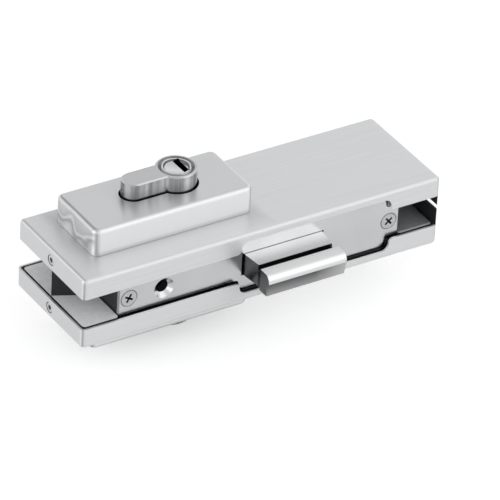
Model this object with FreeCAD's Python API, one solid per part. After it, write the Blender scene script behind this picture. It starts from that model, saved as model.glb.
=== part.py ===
import FreeCAD, Part
import math
import os

os.makedirs("parts", exist_ok=True)

# Centre patch lock for a frameless glass door, in millimetres.
# X runs along the lock, -Y points out of the glass edge, where the bolt leaves, and Z through the glass.
# The origin is the middle of the glass slot: mid-length, mid-width and mid-glass.

# Covers and slot
lock_length = 165.0
lock_width = 51.2
cover_outer_z = 15.8
cover_rim_z = 6.95
cover_sheet = 0.8
cover_edge_radius = 1.6
cover_corner_radius = 2.0
notch_bolt_inset = 2.9
notch_right_inset = 5.0
notch_top_z = 12.2
notch_inner_radius = 3.4
notch_mouth_radius = 1.8

# Raised housings round the cylinder
housing_end_inset = 12.1
housing_length = 72.3
housing_front_y = -12.8
housing_width = 31.3
housing_height = 12.0
housing_sheet = 0.8
housing_edge_radius = 1.8
housing_corner_radius = 3.0

# Clamp jaws and glass pads
jaw_face_z = 7.9
jaw_thickness = 2.7
jaw_end_gap = 0.8
jaw_side_gap = 1.0
jaw_corner_radius = 2.0
jaw_rib = 2.0
pad_length = 16.0
pad_thickness = 1.0
pad_corner_radius = 1.5
pad_body_gap = 0.4

# Case block between the jaws
block_back_y = 21.2
block_back_wall = 1.0
block_top_gap = 0.4
fascia_front_y = -23.1
fascia_thickness = 1.8
fascia_half_height = 6.85
lobe_side_gap = 1.0
lobe_top_gap = 1.1
lobe_radius = 2.4
lobe_root_radius = 1.6
lobe_boss_depth = 8.0
fascia_end_radius = 0.5
part_gap = 0.4

# Profile cylinder: a 33 mm profile with a 17 mm head and a 10 mm web
cylinder_end_inset = 58.6
cylinder_y = 4.4
cylinder_half_length = 35.0
profile_height = 33.0
profile_head_radius = 8.5
profile_web_width = 10.0
profile_edge = 0.5
profile_hole_gap = 0.8
profile_seat_gap = 0.15
cam_slot_half = 5.0
cam_slot_radius = 16.0
fixing_web_inset = 4.1
fixing_radius = 2.5
fixing_head_radius = 4.2
fixing_head_height = 3.0
fixing_access_radius = 4.8
fascia_hole_radius = 2.7
fascia_hole_mouth = 4.5
fixing_seat_y = -12.0
fixing_tip_past_axis = 3.0

# Plugs, pins and cam inside the cylinder
plug_radius = 6.45
plug_running_gap = 0.05
plug_dish_radius = 4.7
plug_dish_depth = 0.6
plug_neck_radius = 4.9
plug_neck_length = 0.65
spigot_radius = 5.6
spigot_length = 1.3
clip_radius = 7.4
clip_thickness = 0.5
clip_mouth = 4.0
keyway_offset = 1.0
keyway_thickness = 2.6
keyway_width = 9.2
keyway_depth = 29.0
pin_count = 6
pin_first_z = 10.0
pin_pitch = 4.0
pin_radius = 1.4
pin_recess = 0.25
chamber_radius = 1.45
driver_length = 5.0
pin_spring_wall = 0.45
chamber_plug_length = 2.5
bitting = (0.4, 1.2, 0.8, 1.6, 0.6, 1.0)
cam_half_thickness = 4.2
cam_hub_radius = 8.0
cam_finger_radius = 2.4
cam_finger_reach = 12.6
cam_notch_gap = 0.5
notch_cuts = 16
clutch_radius = 5.55
clutch_wing_reach = 6.8
clutch_wing_width = 2.4
clutch_half_length = 2.9
clutch_slot_depth = 1.45

# Bolt
bolt_axis_distance = 16.1
bolt_width = 36.1
bolt_half_thickness = 4.9
bolt_projection = 18.9
bolt_rear_y = -6.0
bolt_crease_z = 1.2
bolt_crease_step = 1.4
bolt_top_round = 2.2
bolt_round_middle_y = 0.6
bolt_round_middle_z = 1.2
bolt_waist = 1.0
bolt_groove_front = 6.5
bolt_groove_width = 3.0
bolt_groove_depth = 2.0
bolt_end_gap = 0.9
bolt_face_gap = 0.2
tail_half_thickness = 2.4
tail_half_width = 6.0
tail_bite = 19.8
tail_hub_gap = 0.6
tail_root_y = -16.0
rivet_radius = 1.75
rivet_y = -13.0

# Detent leaf that holds the bolt at either end of its travel
leaf_thickness = 0.5
leaf_half_height = 3.0
leaf_bite = 0.8
leaf_notch_depth = 1.1
leaf_notch_half_width = 3.0
leaf_pocket_width = 4.3
leaf_pocket_front_y = -20.0
leaf_rear_y = 6.0
leaf_bend_y = -4.0
leaf_front_rise = 2.2
leaf_screw_radius = 1.5
leaf_screw_length = 6.0
leaf_screw_head_radius = 2.6

# Screws
clamp_screw_inset = 10.1
clamp_screw_y = 13.0
clamp_screw_radius = 3.0
clamp_head_radius = 5.0
clamp_head_height = 4.0
clamp_socket = 5.0
clamp_socket_depth = 2.4
thread_gap = 0.02
hole_gap = 0.3
head_gap = 0.1
fascia_screw_inset = 4.3
fascia_screw_radius = 2.0
fascia_screw_length = 12.0
fascia_head_radius = 3.75
left_cross_turn = 30.0
right_cross_turn = 50.0
cross_width = 0.9
cross_length = 4.0
cross_depth = 1.2
lid_screw_radius = 1.5
lid_head_radius = 2.8
lid_screw_length = 7.0
lid_rim = 0.9
lid_web_wall = 2.1
lid_pocket_wall = 1.5
lid_front_screws_from_axis = (-11.1, 10.9)
lid_back_screw_inset = 3.5
lid_back_screw_from_bolt = 2.6
lid_screw_front_inset = 3.4
lid_screw_back_inset = 3.7
grub_radius = 2.0
grub_length = 8.0
grub_z = 11.1
grub_recess = 0.2
grub_boss_length = 8.0
grub_boss_half_width = 4.0
grub_boss_height = 4.2
grub_socket = 2.0
grub_socket_depth = 2.6

# Rubber pieces in the glass slot
buffer_nose_y = 1.5
buffer_half_width = 8.0
buffer_top_gap = 0.3
strip_lower_top_z = 0.1
strip_upper_bottom_z = 2.5
strip_end_gap = 0.3

# Places that follow from the sizes above
half_length = lock_length / 2
half_width = lock_width / 2
housing_left_x = -half_length + housing_end_inset
cylinder_x = -half_length + cylinder_end_inset
bolt_left_x = cylinder_x + bolt_axis_distance
bolt_right_x = bolt_left_x + bolt_width
notch_left_x = bolt_left_x - notch_bolt_inset
tail_right_x = bolt_left_x + tail_bite
leaf_right_x = bolt_right_x + bolt_face_gap + leaf_pocket_width
cover_inner_z = cover_outer_z - cover_sheet
housing_outer_z = cover_outer_z + housing_height
jaw_outer_z = jaw_face_z + jaw_thickness
jaw_half_length = half_length - cover_sheet - jaw_end_gap
jaw_half_width = half_width - cover_sheet - jaw_side_gap
pad_face_z = jaw_face_z - pad_thickness
block_half_length = jaw_half_length - pad_length - pad_body_gap
notch_right_x = block_half_length - notch_right_inset
lobe_left_x = notch_left_x + lobe_side_gap
lobe_right_x = notch_right_x - lobe_side_gap
lobe_half_height = notch_top_z - lobe_top_gap
clamp_screw_x = block_half_length - clamp_screw_inset
fascia_screw_x = block_half_length - fascia_screw_inset
block_front_y = fascia_front_y + fascia_thickness
block_top_z = jaw_face_z - block_top_gap
cavity_back_y = block_back_y - block_back_wall
chamber_half = bolt_half_thickness + bolt_face_gap
bolt_nose_y = fascia_front_y - bolt_projection
bolt_throw = bolt_projection
groove_front_y = bolt_nose_y + bolt_groove_front
groove_rear_y = groove_front_y + bolt_groove_width
detent_y = (groove_front_y + groove_rear_y) / 2 + bolt_throw
web_half = profile_web_width / 2
profile_end_x = cylinder_x - (profile_height - profile_head_radius)
web_end_x = profile_end_x + web_half
fixing_x = profile_end_x + fixing_web_inset
lid_left_x = profile_end_x - lid_web_wall
lid_right_x = leaf_right_x + lid_pocket_wall
lid_front_y = block_front_y + lid_rim
lid_screw_places = [(cylinder_x + x, lid_front_y + lid_screw_front_inset) for x in lid_front_screws_from_axis]
lid_screw_places += [(x, cavity_back_y - lid_screw_back_inset)
                     for x in (lid_left_x + lid_back_screw_inset, bolt_right_x + lid_back_screw_from_bolt)]
drive_half_angle = math.degrees(math.asin(bolt_throw / 2 / cam_finger_reach))
notch_y = cylinder_y - bolt_throw / 2
tail_left_x = cylinder_x + cam_hub_radius + tail_hub_gap
overrun = 1.0
near = 0.01


def box(x0, x1, y0, y1, z0, z1):
    """A block between two opposite corners."""
    corner = FreeCAD.Vector(min(x0, x1), min(y0, y1), min(z0, z1))
    return Part.makeBox(abs(x1 - x0), abs(y1 - y0), abs(z1 - z0), corner)


def rod_x(y, z, radius, x0, x1):
    return Part.makeCylinder(radius, x1 - x0, FreeCAD.Vector(x0, y, z), FreeCAD.Vector(1, 0, 0))


def rod_y(x, z, radius, y0, y1):
    return Part.makeCylinder(radius, y1 - y0, FreeCAD.Vector(x, y0, z), FreeCAD.Vector(0, 1, 0))


def rod_z(x, y, radius, z0, z1):
    return Part.makeCylinder(radius, z1 - z0, FreeCAD.Vector(x, y, z0), FreeCAD.Vector(0, 0, 1))


def joined(first, *others):
    """One solid out of several that touch, with the seams between them removed."""
    return first.fuse(list(others)).removeSplitter()


def less(shape, *cutters):
    return shape.cut(list(cutters))


def rounded(shape, radius, chosen):
    """Fillets the edges for which chosen(edge) holds."""
    edges = [edge for edge in shape.Edges if chosen(edge)]
    return shape.makeFillet(radius, edges)


def runs_along(edge, direction):
    """True for a straight edge that runs along the given axis."""
    if len(edge.Vertexes) != 2 or not isinstance(edge.Curve, Part.Line):
        return False
    return edge.tangentAt(edge.FirstParameter).cross(direction).Length < near


def pressed(x0, x1, y0, y1, z0, z1, corner_radius, edge_radius):
    """A block with round upright corners and a round top edge, as sheet takes them over a press tool."""
    z_axis = FreeCAD.Vector(0, 0, 1)
    block = rounded(box(x0, x1, y0, y1, z0, z1), corner_radius, lambda e: runs_along(e, z_axis))
    return rounded(block, edge_radius, lambda e: e.CenterOfMass.z > z1 - near)


def below(shape):
    """The same piece on the other side of the glass."""
    return shape.mirror(FreeCAD.Vector(0, 0, 0), FreeCAD.Vector(0, 0, 1))


def both_sides(solids):
    return solids + [below(solid) for solid in solids]


def profile(grow, z0, z1):
    """The keyhole-shaped section of the cylinder, grown all round by a clearance."""
    head = rod_z(cylinder_x, cylinder_y, profile_head_radius + grow, z0, z1)
    web = box(web_end_x, cylinder_x, cylinder_y - web_half - grow, cylinder_y + web_half + grow, z0, z1)
    web_end = rod_z(web_end_x, cylinder_y, web_half + grow, z0, z1)
    return joined(head, web, web_end)


def hexagon(across, z0, z1, x, y):
    """A hexagon socket cutter along Z."""
    corner_radius = across / math.sqrt(3)
    sides = 6
    angles = [2 * math.pi * i / sides for i in range(sides + 1)]
    points = [FreeCAD.Vector(x + corner_radius * math.cos(a), y + corner_radius * math.sin(a), z0)
              for a in angles]
    return Part.Face(Part.makePolygon(points)).extrude(FreeCAD.Vector(0, 0, z1 - z0))


def slab(points, z0, z1):
    """An outline in X and Y, as thick as from z0 to z1."""
    corners = [FreeCAD.Vector(x, y, z0) for x, y in points]
    return Part.Face(Part.makePolygon(corners + corners[:1])).extrude(FreeCAD.Vector(0, 0, z1 - z0))


def save(name, *solids):
    """Writes one sub-part, as one solid or as a group of separate ones."""
    shape = solids[0] if len(solids) == 1 else Part.makeCompound(list(solids))
    if not shape.isValid():
        raise ValueError(name + " is not a valid solid")
    shape.exportStep("parts/" + name + ".step")


# Pressed stainless cover: a tray with a stepped notch in its front skirt for the fascia.
def cover():
    outer = pressed(-half_length, half_length, -half_width, half_width, cover_rim_z, cover_outer_z,
                    cover_corner_radius, cover_edge_radius)
    inner = pressed(-half_length + cover_sheet, half_length - cover_sheet, -half_width + cover_sheet,
                    half_width - cover_sheet, cover_rim_z - overrun, cover_inner_z,
                    cover_corner_radius - cover_sheet, cover_edge_radius - cover_sheet)
    tray = less(outer, inner)
    notch = box(notch_left_x, notch_right_x, -half_width - overrun, -half_width + cover_sheet + overrun / 2,
                cover_rim_z - overrun, notch_top_z)
    tray = less(tray, notch)
    y_axis = FreeCAD.Vector(0, 1, 0)

    def at_notch(edge, level):
        place = edge.CenterOfMass
        beside = min(abs(place.x - notch_left_x), abs(place.x - notch_right_x)) < near
        return runs_along(edge, y_axis) and beside and abs(place.z - level) < near and place.y < 0

    tray = rounded(tray, notch_inner_radius, lambda e: at_notch(e, notch_top_z))
    tray = rounded(tray, notch_mouth_radius, lambda e: at_notch(e, cover_rim_z))
    cylinder_hole = profile(profile_hole_gap, cover_inner_z - overrun, cover_outer_z + overrun)
    grub_holes = rod_x(0, grub_z, grub_radius + hole_gap, -half_length - overrun, half_length + overrun)
    return less(tray, cylinder_hole, grub_holes)


# Raised stainless housing over the cylinder's end, welded to the cover.
def housing():
    right_x = housing_left_x + housing_length
    back_y = housing_front_y + housing_width
    outer = pressed(housing_left_x, right_x, housing_front_y, back_y, cover_outer_z, housing_outer_z,
                    housing_corner_radius, housing_edge_radius)
    inner = pressed(housing_left_x + housing_sheet, right_x - housing_sheet,
                    housing_front_y + housing_sheet, back_y - housing_sheet,
                    cover_outer_z - overrun, housing_outer_z - housing_sheet,
                    housing_corner_radius - housing_sheet, housing_edge_radius - housing_sheet)
    return less(outer, inner, profile(profile_hole_gap, cover_outer_z - overrun, housing_outer_z + overrun))


# Outer side of a clamp jaw: a plate with a rim that carries the cover, and what the fascia and screws need.
def jaw():
    z_axis = FreeCAD.Vector(0, 0, 1)
    rim_top = cover_inner_z
    plate = box(-jaw_half_length, jaw_half_length, -jaw_half_width, jaw_half_width, jaw_face_z, rim_top)
    plate = rounded(plate, jaw_corner_radius, lambda e: runs_along(e, z_axis))
    tray = box(-jaw_half_length + jaw_rib, jaw_half_length - jaw_rib, -jaw_half_width + jaw_rib,
               jaw_half_width - jaw_rib, jaw_outer_z, rim_top + overrun)
    shape = less(plate, tray)
    lobe_top_z = lobe_half_height + part_gap
    additions = [box(lobe_left_x, lobe_right_x, block_front_y, block_front_y + lobe_boss_depth,
                     jaw_outer_z, lobe_top_z)]
    for end in (-1, 1):
        additions.append(box(end * jaw_half_length, end * (jaw_half_length - grub_boss_length),
                             -grub_boss_half_width, grub_boss_half_width,
                             jaw_outer_z, jaw_outer_z + grub_boss_height))
    shape = joined(shape, *additions)
    fascia_recess = box(lobe_left_x - part_gap, lobe_right_x + part_gap,
                        -jaw_half_width - overrun, block_front_y, jaw_face_z - overrun, lobe_top_z)
    grub_holes = rod_x(0, grub_z, grub_radius + thread_gap, -half_length, half_length)
    grub_gap = box(-jaw_half_length + grub_boss_length, jaw_half_length - grub_boss_length, -jaw_half_width,
                   jaw_half_width, grub_z - grub_radius - overrun, grub_z + grub_radius + overrun)
    return less(shape, fascia_recess, profile(profile_seat_gap, jaw_face_z - overrun, rim_top),
                less(grub_holes, grub_gap))


def clamp_places():
    return [(x, y) for x in (-clamp_screw_x, clamp_screw_x) for y in (-clamp_screw_y, clamp_screw_y)]


# Case: the lower jaw with the block that fills the cut-out in the glass and holds the mechanism.
def lock_case():
    block = box(-block_half_length, block_half_length, block_front_y, block_back_y,
                -jaw_face_z, block_top_z)
    shape = joined(below(jaw()), block)
    open_z = jaw_face_z + overrun
    channel_rear_y = bolt_rear_y + bolt_throw + part_gap
    cutters = [
        rod_z(cylinder_x, cylinder_y, cavity_back_y - cylinder_y, -chamber_half, open_z),
        box(bolt_left_x - bolt_face_gap, bolt_right_x + bolt_face_gap,
            block_front_y - overrun, channel_rear_y, -chamber_half, open_z),
        box(tail_left_x - part_gap, tail_right_x + part_gap,
            notch_y - tail_half_width - part_gap, cavity_back_y, -chamber_half, open_z),
        box(bolt_right_x, leaf_right_x, leaf_pocket_front_y, leaf_rear_y,
            -leaf_half_height - part_gap, open_z),
        box(lid_left_x, lid_right_x, lid_front_y, cavity_back_y, chamber_half, open_z),
        profile(profile_seat_gap, -jaw_outer_z - overrun, open_z),
        rod_y(fixing_x, 0, fixing_access_radius, block_front_y - overrun, fixing_seat_y),
        rod_y(fixing_x, 0, fixing_radius + hole_gap, fixing_seat_y - overrun, cylinder_y),
        rod_x(leaf_screw_y(), 0, leaf_screw_radius + thread_gap, leaf_right_x - overrun,
              leaf_right_x + leaf_screw_length),
    ]
    thread_top_z = -jaw_face_z + overrun
    for x, y in clamp_places():
        cutters.append(rod_z(x, y, clamp_screw_radius + thread_gap, -jaw_outer_z - overrun, thread_top_z))
        cutters.append(rod_z(x, y, clamp_screw_radius + hole_gap, thread_top_z, open_z))
    for x in (-fascia_screw_x, fascia_screw_x):
        cutters.append(rod_y(x, 0, fascia_screw_radius + thread_gap, block_front_y - overrun,
                             fascia_front_y + fascia_screw_length + overrun))
    lid_thread_z = block_top_z - lid_screw_length - overrun
    for x, y in lid_screw_places:
        cutters.append(rod_z(x, y, lid_screw_radius + thread_gap, lid_thread_z, block_top_z))
    return less(shape, *cutters)


def upper_clamp_plate():
    holes = [rod_z(x, y, clamp_screw_radius + hole_gap, jaw_face_z - overrun, jaw_outer_z + overrun)
             for x, y in clamp_places()]
    counterbores = [rod_z(x, y, clamp_head_radius + hole_gap, jaw_outer_z, cover_inner_z)
                    for x, y in clamp_places()]
    return less(jaw(), *holes, *counterbores)


def mechanism_lid():
    side_gap = part_gap / 2
    plate = box(lid_left_x + side_gap, lid_right_x - side_gap, lid_front_y + side_gap,
                cavity_back_y - side_gap, chamber_half, block_top_z)
    cutters = [profile(profile_seat_gap, 0, jaw_face_z + overrun)]
    for x, y in lid_screw_places:
        cutters.append(rod_z(x, y, lid_screw_radius + hole_gap, 0, jaw_face_z + overrun))
        cutters.append(countersink(x, y, head_gap))
    return less(plate, *cutters)


def countersink(x, y, grow):
    """The cone under a lid screw's head, flush with the lid."""
    depth = lid_head_radius - lid_screw_radius
    return Part.makeCone(lid_screw_radius + grow, lid_head_radius + grow, depth,
                         FreeCAD.Vector(x, y, block_top_z - depth), FreeCAD.Vector(0, 0, 1))


def lid_screws():
    screws = []
    for x, y in lid_screw_places:
        head = countersink(x, y, 0)
        shank = rod_z(x, y, lid_screw_radius, block_top_z - lid_screw_length, block_top_z)
        socket = hexagon(grub_socket, block_top_z - cross_depth, block_top_z + overrun, x, y)
        screws.append(less(joined(head, shank), socket))
    return screws


def clamp_screws():
    screws = []
    top = jaw_outer_z + clamp_head_height
    for x, y in clamp_places():
        shank = rod_z(x, y, clamp_screw_radius, -jaw_outer_z, jaw_outer_z)
        head = rod_z(x, y, clamp_head_radius, jaw_outer_z, top)
        socket = hexagon(clamp_socket, top - clamp_socket_depth, top + overrun, x, y)
        screws.append(less(joined(shank, head), socket))
    return screws


# Fibre pads between jaws and glass, one at each end of the slot.
def glass_pads():
    z_axis = FreeCAD.Vector(0, 0, 1)
    near_x = block_half_length + pad_body_gap
    pads = []
    for end in (-1, 1):
        pad = box(end * near_x, end * jaw_half_length, -jaw_half_width, jaw_half_width,
                  pad_face_z, jaw_face_z)
        pads.append(rounded(pad, pad_corner_radius, lambda e: runs_along(e, z_axis)))
    return pads


# Fascia: a strip as high as the glass is thick, taller where the bolt leaves.
def fascia():
    y_axis = FreeCAD.Vector(0, 1, 0)
    strip = box(-block_half_length, block_half_length, fascia_front_y, block_front_y,
                -fascia_half_height, fascia_half_height)
    strip = rounded(strip, fascia_end_radius, lambda e: runs_along(e, y_axis))
    lobe = box(lobe_left_x, lobe_right_x, fascia_front_y, block_front_y,
               -lobe_half_height, lobe_half_height)
    lobe = rounded(lobe, lobe_radius, lambda e: runs_along(e, y_axis))
    opening = box(bolt_left_x - bolt_end_gap, bolt_right_x + bolt_end_gap, fascia_front_y - overrun,
                  block_front_y + overrun, -chamber_half, chamber_half)
    access = rod_y(fixing_x, 0, fascia_hole_radius, fascia_front_y - overrun, block_front_y + overrun)
    mouth = Part.makeCone(fascia_hole_mouth, fascia_hole_radius, fascia_thickness,
                          FreeCAD.Vector(fixing_x, fascia_front_y, 0), y_axis)
    heads = [fascia_head(x, head_gap) for x in (-fascia_screw_x, fascia_screw_x)]
    shanks = [rod_y(x, 0, fascia_screw_radius + thread_gap, fascia_front_y, block_front_y + overrun)
              for x in (-fascia_screw_x, fascia_screw_x)]

    def at_root(edge):
        place = edge.CenterOfMass
        beside = min(abs(place.x - lobe_left_x), abs(place.x - lobe_right_x)) < near
        return runs_along(edge, y_axis) and beside and abs(abs(place.z) - fascia_half_height) < near

    outline = rounded(joined(strip, lobe), lobe_root_radius, at_root)
    return less(outline, opening, access, mouth, *heads, *shanks)


def fascia_head(x, grow):
    """The countersunk head of a fascia screw, flush with the fascia."""
    return Part.makeCone(fascia_head_radius + grow, fascia_screw_radius + grow,
                         fascia_head_radius - fascia_screw_radius, FreeCAD.Vector(x, fascia_front_y, 0),
                         FreeCAD.Vector(0, 1, 0))


def fascia_screws():
    y_axis = FreeCAD.Vector(0, 1, 0)
    screws = []
    for x, turn in ((-fascia_screw_x, left_cross_turn), (fascia_screw_x, right_cross_turn)):
        shank = rod_y(x, 0, fascia_screw_radius, fascia_front_y, fascia_front_y + fascia_screw_length)
        screw = joined(fascia_head(x, 0), shank)
        for angle in (turn, turn + 90):
            slot = box(x - cross_length / 2, x + cross_length / 2, fascia_front_y - overrun,
                       fascia_front_y + cross_depth, -cross_width / 2, cross_width / 2)
            slot.rotate(FreeCAD.Vector(x, 0, 0), y_axis, angle)
            screw = less(screw, slot)
        screws.append(screw)
    return screws


# Socket grub screws that stand out of the jaw into the holes in the cover's ends.
def grub_screws():
    screws = []
    for end in (-1, 1):
        tip_x = end * (half_length - grub_recess)
        inner_x = end * (half_length - grub_recess - grub_length)
        screw = rod_x(0, grub_z, grub_radius, min(tip_x, inner_x), max(tip_x, inner_x))
        socket = hexagon(grub_socket, 0, grub_socket_depth, 0, 0)
        socket.rotate(FreeCAD.Vector(0, 0, 0), FreeCAD.Vector(0, 1, 0), -90 * end)
        socket.translate(FreeCAD.Vector(tip_x, 0, grub_z))
        screws.append(less(screw, socket))
    return screws


def pin_heights():
    return [pin_first_z + pin_pitch * i for i in range(pin_count)]


# Cylinder body: one nickel-plated brass profile, cut away in the middle for the cam.
def cylinder_body():
    body = profile(0, -cylinder_half_length, cylinder_half_length)
    body = body.makeChamfer(profile_edge, [e for e in body.Edges
                                           if abs(abs(e.CenterOfMass.z) - cylinder_half_length) < near])
    cutters = [rod_z(cylinder_x, cylinder_y, cam_slot_radius, -cam_slot_half, cam_slot_half),
               rod_z(cylinder_x, cylinder_y, plug_radius + plug_running_gap,
                     -cylinder_half_length - overrun, cylinder_half_length + overrun),
               rod_y(fixing_x, 0, fixing_radius + thread_gap, cylinder_y - profile_web_width,
                     cylinder_y + profile_web_width)]
    for height in pin_heights():
        for z in (-height, height):
            cutters.append(rod_x(cylinder_y, z, chamber_radius, cylinder_x - profile_height, cylinder_x))
    mouth = plug_mouth(plug_radius + plug_running_gap, profile_edge)
    return less(body, mouth, below(mouth), *cutters)


def fixing_screw():
    head_y = fixing_seat_y - fixing_head_height
    head = rod_y(fixing_x, 0, fixing_head_radius, head_y, fixing_seat_y)
    shank = rod_y(fixing_x, 0, fixing_radius, fixing_seat_y, cylinder_y + fixing_tip_past_axis)
    slot = box(fixing_x - fixing_head_radius, fixing_x + fixing_head_radius,
               head_y, head_y + cross_depth, -cross_width / 2, cross_width / 2)
    return less(joined(head, shank), slot)


def plug_mouth(inner_radius, depth):
    """A cone that opens towards the cylinder's upper end, as deep as it is wide."""
    base = FreeCAD.Vector(cylinder_x, cylinder_y, cylinder_half_length - depth)
    return Part.makeCone(inner_radius, inner_radius + depth, depth, base, FreeCAD.Vector(0, 0, 1))


# Plug of the upper key side, with its keyway, pin chambers and dished face.
def plug():
    top = cylinder_half_length
    core = rod_z(cylinder_x, cylinder_y, plug_radius, cam_slot_half, top)
    core = core.makeChamfer(profile_edge, [e for e in core.Edges if abs(e.CenterOfMass.z - top) < near])
    neck = rod_z(cylinder_x, cylinder_y, plug_neck_radius, cam_slot_half - plug_neck_length, cam_slot_half)
    spigot = rod_z(cylinder_x, cylinder_y, spigot_radius, cam_slot_half - plug_neck_length - spigot_length,
                   cam_slot_half - plug_neck_length)
    keyway_x = cylinder_x + keyway_offset
    keyway = box(keyway_x, keyway_x + keyway_thickness, cylinder_y - keyway_width / 2,
                 cylinder_y + keyway_width / 2, top - keyway_depth, top + overrun)
    chambers = [rod_x(cylinder_y, z, chamber_radius, cylinder_x - plug_radius - overrun, keyway_x + overrun)
                for z in pin_heights()]
    dish = plug_mouth(plug_dish_radius, plug_dish_depth)
    return less(joined(core, neck, spigot), dish, keyway, *chambers)


def key_pins():
    outer_x = cylinder_x - plug_radius + pin_recess
    return [rod_x(cylinder_y, z, pin_radius, outer_x, cylinder_x + keyway_offset - depth)
            for z, depth in zip(pin_heights(), bitting)]


def driver_pins():
    outer_x = cylinder_x - plug_radius - plug_running_gap
    return [rod_x(cylinder_y, z, pin_radius, outer_x - driver_length, outer_x - plug_running_gap)
            for z in pin_heights()]


def chamber_plug_inner_x():
    return profile_end_x + profile_edge + chamber_plug_length


def chamber_plugs():
    inner_x = chamber_plug_inner_x()
    return [rod_x(cylinder_y, z, chamber_radius, inner_x - chamber_plug_length, inner_x)
            for z in pin_heights()]


def pin_springs():
    start_x = chamber_plug_inner_x()
    end_x = cylinder_x - plug_radius - plug_running_gap - driver_length
    springs = []
    for z in pin_heights():
        outside = rod_x(cylinder_y, z, pin_radius, start_x, end_x)
        springs.append(less(outside, rod_x(cylinder_y, z, pin_radius - pin_spring_wall, start_x, end_x)))
    return springs


def plug_clip():
    """A C-shaped clip on the plug's neck, which stops it from sliding out."""
    low = cam_slot_half - clip_thickness - plug_running_gap
    high = low + clip_thickness
    ring = rod_z(cylinder_x, cylinder_y, clip_radius, low, high)
    bore = rod_z(cylinder_x, cylinder_y, plug_neck_radius + plug_running_gap, low - overrun, high + overrun)
    mouth = box(cylinder_x, cylinder_x + clip_radius + overrun, cylinder_y - clip_mouth / 2,
                cylinder_y + clip_mouth / 2, low - overrun, high + overrun)
    return less(ring, bore, mouth)


def cam_finger(grow, half_thickness):
    """The cam's finger pointing along +X, with a round tip, grown by a clearance."""
    half = cam_finger_radius + grow
    stem = box(cylinder_x, cylinder_x + cam_finger_reach, cylinder_y - half, cylinder_y + half,
               -half_thickness, half_thickness)
    tip = rod_z(cylinder_x + cam_finger_reach, cylinder_y, half, -half_thickness, half_thickness)
    return joined(stem, tip)


def turned(shape, degrees):
    """A copy turned about the cylinder's axis."""
    copy = shape.copy()
    copy.rotate(FreeCAD.Vector(cylinder_x, cylinder_y, 0), FreeCAD.Vector(0, 0, 1), degrees)
    return copy


# Cam: a hub between the plugs with one finger that drives the bolt's tail.
def cam():
    hub = rod_z(cylinder_x, cylinder_y, cam_hub_radius, -cam_half_thickness, cam_half_thickness)
    whole = joined(hub, turned(cam_finger(0, cam_half_thickness), -drive_half_angle))
    bore = rod_z(cylinder_x, cylinder_y, spigot_radius + plug_running_gap, -cam_slot_half, cam_slot_half)
    return less(whole, bore, clutch_wing(plug_running_gap, cam_half_thickness + overrun))


def clutch_wing(grow, half_thickness):
    """The wing that lets the clutch slide in the cam and turns the two together."""
    half = clutch_wing_width / 2 + grow
    return box(cylinder_x - half, cylinder_x + half, cylinder_y, cylinder_y + clutch_wing_reach + grow,
               -half_thickness, half_thickness)


def cam_clutch():
    """The coupling inside the cam that a key pushes into its own plug."""
    core = joined(rod_z(cylinder_x, cylinder_y, clutch_radius, -clutch_half_length, clutch_half_length),
                  clutch_wing(0, clutch_half_length))
    for side in (-1, 1):
        slot = box(cylinder_x - clutch_radius, cylinder_x + clutch_radius,
                   cylinder_y - keyway_thickness / 2, cylinder_y + keyway_thickness / 2,
                   side * clutch_half_length, side * (clutch_half_length - clutch_slot_depth))
        core = less(core, slot)
    return core


# Bolt head: a stainless bar with a rounded nose, a cross groove and a slight waist behind it.
def bolt_head():
    top = bolt_half_thickness
    start_y = bolt_nose_y + bolt_top_round
    crease = FreeCAD.Vector(bolt_left_x, bolt_nose_y, bolt_crease_z)
    round_start = FreeCAD.Vector(bolt_left_x, start_y, top)
    round_middle = FreeCAD.Vector(bolt_left_x, bolt_nose_y + bolt_round_middle_y, top - bolt_round_middle_z)
    groove_floor = top - bolt_groove_depth
    points = [(bolt_nose_y + bolt_crease_step, -top), (bolt_rear_y, -top), (bolt_rear_y, top),
              (groove_rear_y, top), (groove_rear_y, groove_floor), (groove_front_y, groove_floor),
              (groove_front_y, top), (start_y, top)]
    corners = [crease] + [FreeCAD.Vector(bolt_left_x, y, z) for y, z in points]
    edges = [Part.LineSegment(a, b).toShape() for a, b in zip(corners, corners[1:])]
    edges.append(Part.Arc(round_start, round_middle, crease).toShape())
    bar = Part.Face(Part.Wire(edges)).extrude(FreeCAD.Vector(bolt_width, 0, 0))
    for side_x, inward in ((bolt_left_x, 1), (bolt_right_x, -1)):
        waist_x = side_x + inward * bolt_waist
        beyond_x = side_x - inward * overrun
        outline = [(beyond_x, fascia_front_y), (side_x, fascia_front_y), (waist_x, groove_rear_y),
                   (waist_x, groove_front_y), (beyond_x, groove_front_y)]
        bar = less(bar, slab(outline, -top - overrun, top + overrun))
    flare = leaf_notch_half_width * (1 + overrun / leaf_notch_depth)
    notch = [(bolt_right_x + overrun, detent_y - flare), (bolt_right_x - leaf_notch_depth, detent_y),
             (bolt_right_x + overrun, detent_y + flare)]
    tail_room = joined(
        box(bolt_left_x - overrun, tail_right_x, notch_y - tail_half_width, bolt_rear_y + overrun,
            -tail_half_thickness, tail_half_thickness),
        box(bolt_left_x + bolt_waist, tail_right_x, tail_root_y, bolt_rear_y, -tail_half_thickness,
            tail_half_thickness))
    rivet_holes = [rod_z(x, rivet_y, rivet_radius, -top - overrun, top + overrun) for x in rivet_xs()]
    return less(bar, slab(notch, -top - overrun, top + overrun), tail_room, *rivet_holes)


def rivet_xs():
    spread = (tail_right_x - bolt_left_x) / 4
    middle = (tail_right_x + bolt_left_x) / 2
    return (middle - spread, middle + spread)


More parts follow.
